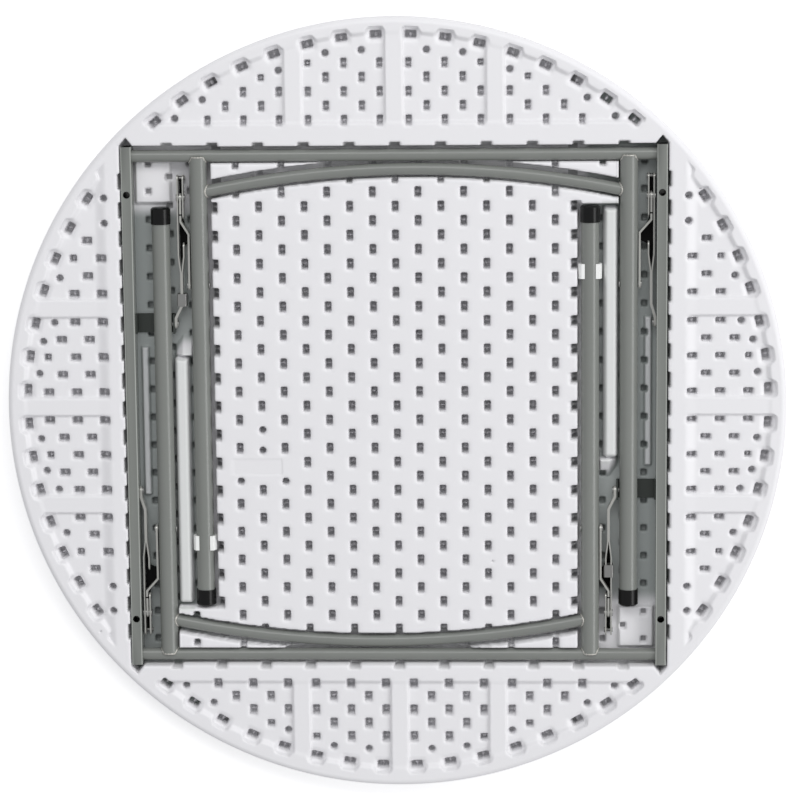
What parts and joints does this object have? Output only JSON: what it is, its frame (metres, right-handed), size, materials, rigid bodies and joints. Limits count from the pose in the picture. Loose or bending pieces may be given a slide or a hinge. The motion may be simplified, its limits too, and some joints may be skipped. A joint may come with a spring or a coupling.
{
  "type": "folding table",
  "caption": "Round blow-moulded folding table lying on its working face, with two folding steel leg sets and locking braces in bays of its underside.",
  "frame": {"origin": "centre of the working face, which lies on the floor", "axes": "+Z out of the underside, +Y towards the pivots of leg set a, +X towards that set's outer leg"},
  "size_m": [1.2189, 1.219, 0.045],
  "materials": {
    "moulding": "fine-grained blow-moulded polyethylene, very light grey",
    "frame_steel": "smooth warm-grey powder coat",
    "brace_steel": "warm-grey coated flat bar",
    "bracket_steel": "dark coated strap",
    "ring_steel": "dull zinc plate",
    "fastener": "zinc-plated rivets and screws",
    "foot_cap": "black moulded cap",
    "clip": "bright white snap clip"
  },
  "bodies": {
    "root": {"tabletop": "moulding", "rail_left": "frame_steel", "rail_right": "frame_steel", "rail_screws": "fastener", "frame_rivets": "fastener", "brace_bracket_a": "bracket_steel", "brace_bracket_b": "bracket_steel", "leg_clip_a": "clip", "leg_clip_b": "clip"},
    "legs_a": {"cross_tube_a": "frame_steel", "stretcher_a": "frame_steel", "leg_tube_a_inner": "frame_steel", "leg_tube_a_outer": "frame_steel", "foot_cap_a_inner": "foot_cap", "foot_cap_a_outer": "foot_cap", "leg_rivets_a": "fastener"},
    "fork_a_inner": {"fork_arm_a_inner": "brace_steel", "fork_leaf_a_inner": "brace_steel", "lock_plate_a_inner": "brace_steel", "fork_rivets_a_inner": "fastener"},
    "link_a_inner": {"brace_link_a_inner": "brace_steel", "link_rivet_a_inner": "fastener"},
    "fork_a_outer": {"fork_arm_a_outer": "brace_steel", "fork_leaf_a_outer": "brace_steel", "lock_plate_a_outer": "brace_steel", "fork_rivets_a_outer": "fastener"},
    "link_a_outer": {"brace_link_a_outer": "brace_steel", "link_rivet_a_outer": "fastener"},
    "legs_b": {"cross_tube_b": "frame_steel", "stretcher_b": "frame_steel", "leg_tube_b_inner": "frame_steel", "leg_tube_b_outer": "frame_steel", "foot_cap_b_inner": "foot_cap", "foot_cap_b_outer": "foot_cap", "leg_rivets_b": "fastener"},
    "fork_b_inner": {"fork_arm_b_inner": "brace_steel", "fork_leaf_b_inner": "brace_steel", "lock_plate_b_inner": "brace_steel", "fork_rivets_b_inner": "fastener"},
    "link_b_inner": {"brace_link_b_inner": "brace_steel", "link_rivet_b_inner": "fastener"},
    "fork_b_outer": {"fork_arm_b_outer": "brace_steel", "fork_leaf_b_outer": "brace_steel", "lock_plate_b_outer": "brace_steel", "fork_rivets_b_outer": "fastener"},
    "link_b_outer": {"brace_link_b_outer": "brace_steel", "link_rivet_b_outer": "fastener"},
    "ring_a": {"lock_ring_a": "ring_steel"},
    "ring_b": {"lock_ring_b": "ring_steel"}
  },
  "joints": [
    {"name": "legs_a_fold", "type": "hinge", "parent": "root", "child": "legs_a", "pos_m": [0, 0.397, 0.029], "axis": [-1, 0, 0], "range_deg": [0, 90], "deforming": ["leg_clip_a"]},
    {"name": "fork_a_inner_swing", "type": "hinge", "parent": "root", "child": "fork_a_inner", "pos_m": [-0.333, 0.133, 0.025], "axis": [1, 0, 0], "range_deg": [0, 38.98]},
    {"name": "link_a_inner_fold", "type": "hinge", "parent": "fork_a_inner", "child": "link_a_inner", "pos_m": [-0.333, 0.33119, 0.02367], "axis": [-1, 0, 0], "range_deg": [0, 178.66]},
    {"name": "fork_a_outer_swing", "type": "hinge", "parent": "root", "child": "fork_a_outer", "pos_m": [0.3985, 0.133, 0.025], "axis": [1, 0, 0], "range_deg": [0, 38.98]},
    {"name": "link_a_outer_fold", "type": "hinge", "parent": "fork_a_outer", "child": "link_a_outer", "pos_m": [0.3985, 0.33119, 0.02367], "axis": [-1, 0, 0], "range_deg": [0, 178.66]},
    {"name": "legs_b_fold", "type": "hinge", "parent": "root", "child": "legs_b", "pos_m": [0, -0.397, 0.029], "axis": [1, 0, 0], "range_deg": [0, 90], "deforming": ["leg_clip_b"]},
    {"name": "fork_b_inner_swing", "type": "hinge", "parent": "root", "child": "fork_b_inner", "pos_m": [0.333, -0.133, 0.025], "axis": [-1, 0, 0], "range_deg": [0, 38.98]},
    {"name": "link_b_inner_fold", "type": "hinge", "parent": "fork_b_inner", "child": "link_b_inner", "pos_m": [0.333, -0.33119, 0.02367], "axis": [1, 0, 0], "range_deg": [0, 178.66]},
    {"name": "fork_b_outer_swing", "type": "hinge", "parent": "root", "child": "fork_b_outer", "pos_m": [-0.3985, -0.133, 0.025], "axis": [-1, 0, 0], "range_deg": [0, 38.98]},
    {"name": "link_b_outer_fold", "type": "hinge", "parent": "fork_b_outer", "child": "link_b_outer", "pos_m": [-0.3985, -0.33119, 0.02367], "axis": [1, 0, 0], "range_deg": [0, 178.66]},
    {"name": "ring_a_slide", "type": "slide", "parent": "fork_a_inner", "child": "ring_a", "axis": [0, -1, 0.0067], "range_m": [-0.091, 0]},
    {"name": "ring_b_slide", "type": "slide", "parent": "fork_b_inner", "child": "ring_b", "axis": [0, 1, 0.0067], "range_m": [0, 0.091]}
  ],
  "couplings": [
    {"joint": "fork_a_inner_swing", "follows": "legs_a_fold", "ratio": 0.4276},
    {"joint": "link_a_inner_fold", "follows": "legs_a_fold", "ratio": 1.9796},
    {"joint": "fork_a_outer_swing", "follows": "legs_a_fold", "ratio": 0.4276},
    {"joint": "link_a_outer_fold", "follows": "legs_a_fold", "ratio": 1.9796},
    {"joint": "fork_b_inner_swing", "follows": "legs_b_fold", "ratio": 0.4276},
    {"joint": "link_b_inner_fold", "follows": "legs_b_fold", "ratio": 1.9796},
    {"joint": "fork_b_outer_swing", "follows": "legs_b_fold", "ratio": 0.4276},
    {"joint": "link_b_outer_fold", "follows": "legs_b_fold", "ratio": 1.9796}
  ]
}
